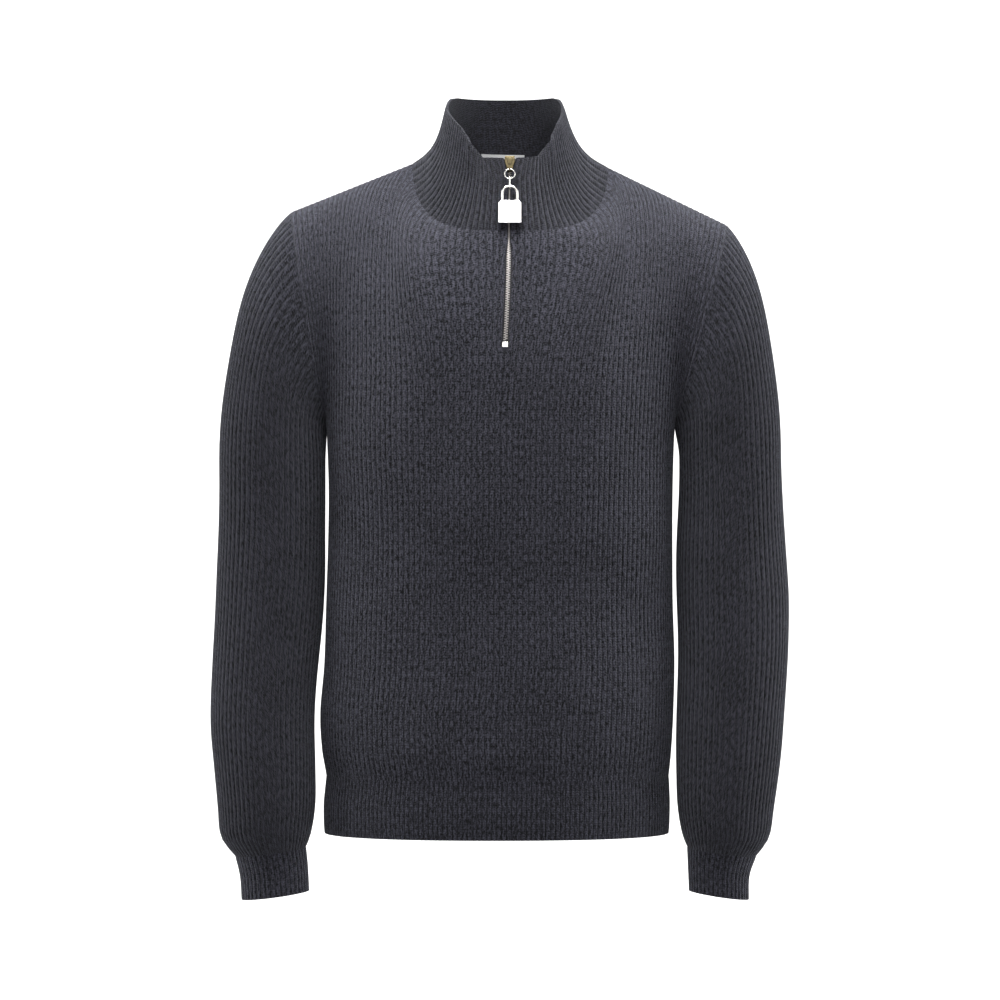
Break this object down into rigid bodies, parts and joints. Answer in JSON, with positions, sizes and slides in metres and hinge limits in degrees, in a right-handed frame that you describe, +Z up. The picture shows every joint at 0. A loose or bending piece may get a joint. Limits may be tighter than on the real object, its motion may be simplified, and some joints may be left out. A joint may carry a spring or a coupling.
{
  "type": "half-zip rib-knit pullover",
  "caption": "Half-zip rib-knit pullover in its worn hollow form, with a funnel collar, set-in long sleeves, a metal zip and a small padlock charm on the pull.",
  "frame": {"origin": "centre of the neck opening, where the wearer's neck and shoulders hold the garment", "axes": "+Z up, +X towards the wearer's left, +Y towards the wearer's back"},
  "size_m": [0.5946, 0.252, 0.8288],
  "materials": {
    "rib_knit": "charcoal melange wool rib knit, matte",
    "rib_trim": "charcoal melange wool, closer rib, matte",
    "zip_tape": "dark woven tape",
    "zip_metal": "silver zip metal",
    "pull_metal": "bright polished wire",
    "padlock_metal": "polished silver, no marks",
    "label_cloth": "light grey woven label, blank"
  },
  "bodies": {
    "garment": {"front": "rib_knit", "back": "rib_knit", "sleeve_left": "rib_knit", "sleeve_right": "rib_knit", "collar": "rib_trim", "hem_front": "rib_trim", "hem_back": "rib_trim", "cuff_left": "rib_trim", "cuff_right": "rib_trim", "zip_tape_left": "zip_tape", "zip_tape_right": "zip_tape", "zip_chain": "zip_metal", "zip_stop": "zip_metal", "slider": "zip_metal", "label": "label_cloth"},
    "pull_ring": {"pull_ring": "pull_metal"},
    "link": {"link": "pull_metal"},
    "padlock": {"padlock": "padlock_metal", "shackle": "pull_metal"}
  },
  "joints": [
    {"name": "ring_swing", "type": "hinge", "parent": "garment", "child": "pull_ring", "pos_m": [0.00691, -0.08354, -0.00697], "axis": [-1, 0, 0], "range_deg": [0, 110]},
    {"name": "link_swing", "type": "hinge", "parent": "pull_ring", "child": "link", "pos_m": [0.00691, -0.08691, -0.01681], "axis": [-1, 0, 0], "range_deg": [0, 45]},
    {"name": "padlock_swing", "type": "hinge", "parent": "link", "child": "padlock", "pos_m": [0.00691, -0.08957, -0.02457], "axis": [-1, 0, 0], "range_deg": [0, 45]}
  ]
}
